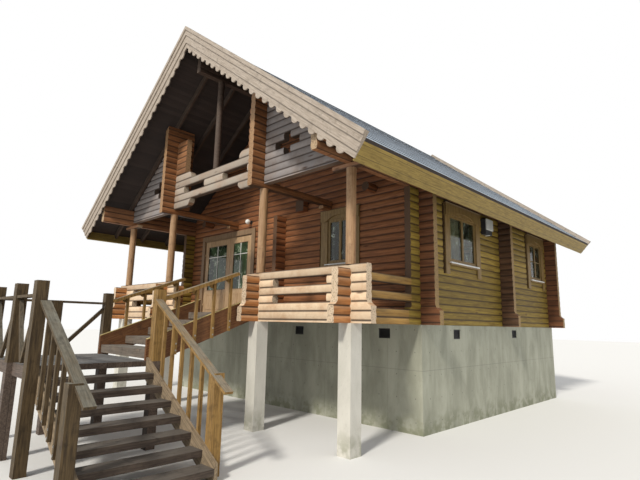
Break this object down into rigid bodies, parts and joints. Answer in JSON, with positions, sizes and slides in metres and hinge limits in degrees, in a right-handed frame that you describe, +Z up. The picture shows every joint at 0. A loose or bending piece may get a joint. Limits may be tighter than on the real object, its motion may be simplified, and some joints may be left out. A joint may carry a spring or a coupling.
{
  "type": "log cabin",
  "caption": "Two-storey log cabin with a porch under an open log gable, on a concrete foundation and piers, reached by timber stairs with a landing.",
  "frame": {"origin": "level of the lowest ground contact, on the outer front face line of the front log wall, at the middle of the gable", "axes": "+X to the right along the front, +Y into the building away from the porch, +Z up"},
  "size_m": [11.322, 14.8, 9.275],
  "materials": {
    "concrete": "matte",
    "deck_boards": "matte",
    "door_wood": "satin",
    "floor_boards": "matte",
    "grey_metal": "satin",
    "lamp_glass": "glossy",
    "logs": "satin",
    "post_wood": "satin",
    "rail_timber": "matte",
    "roof_metal": "satin",
    "roof_timber": "matte",
    "stair_timber": "matte",
    "trim_boards": "matte",
    "window_frames": "satin",
    "window_glass": "glossy"
  },
  "bodies": {
    "house": {"balcony_front": "logs", "deck": "deck_boards", "door_frame": "door_wood", "eave_plates": "logs", "fascias": "trim_boards", "foundation": "concrete", "front_bargeboards": "trim_boards", "front_railing_left": "logs", "front_railing_right": "logs", "front_wall_left": "logs", "front_wall_over_door": "logs", "front_wall_right": "logs", "front_window": "window_frames", "gable_column_left": "logs", "gable_column_right": "logs", "gable_panel_left": "logs", "gable_panel_right": "logs", "ground_floor": "floor_boards", "landing": "stair_timber", "landing_railing": "rail_timber", "left_windows": "window_frames", "lower_flight": "stair_timber", "lower_railing_left": "rail_timber", "lower_railing_right": "rail_timber", "meter_box": "grey_metal", "partition_log_ends": "logs", "piers": "concrete", "porch_posts": "post_wood", "rafters": "roof_timber", "rear_bargeboards": "trim_boards", "rear_wall": "logs", "rear_windows": "window_frames", "ridge_beam": "roof_timber", "right_windows": "window_frames", "roof_left": "roof_metal", "roof_right": "roof_metal", "side_railing_left": "logs", "side_railing_right": "logs", "side_wall_left": "logs", "side_wall_right": "logs", "upper_flight": "stair_timber", "upper_floor": "floor_boards", "upper_front_wall": "logs", "upper_railing_left": "rail_timber", "upper_railing_right": "rail_timber", "wall_lamp": "lamp_glass", "window_glass": "window_glass"},
    "left_leaf": {"door_leaf_left": "door_wood"},
    "right_leaf": {"door_leaf_right": "door_wood"}
  },
  "joints": [
    {"name": "left_leaf_hinge", "type": "hinge", "parent": "house", "child": "left_leaf", "pos_m": [-3.636, -0.088, 3.496], "axis": [0, 0, 1], "range_deg": [-100, 0]},
    {"name": "right_leaf_hinge", "type": "hinge", "parent": "house", "child": "right_leaf", "pos_m": [-1.199, -0.088, 3.496], "axis": [0, 0, 1], "range_deg": [0, 100]}
  ]
}
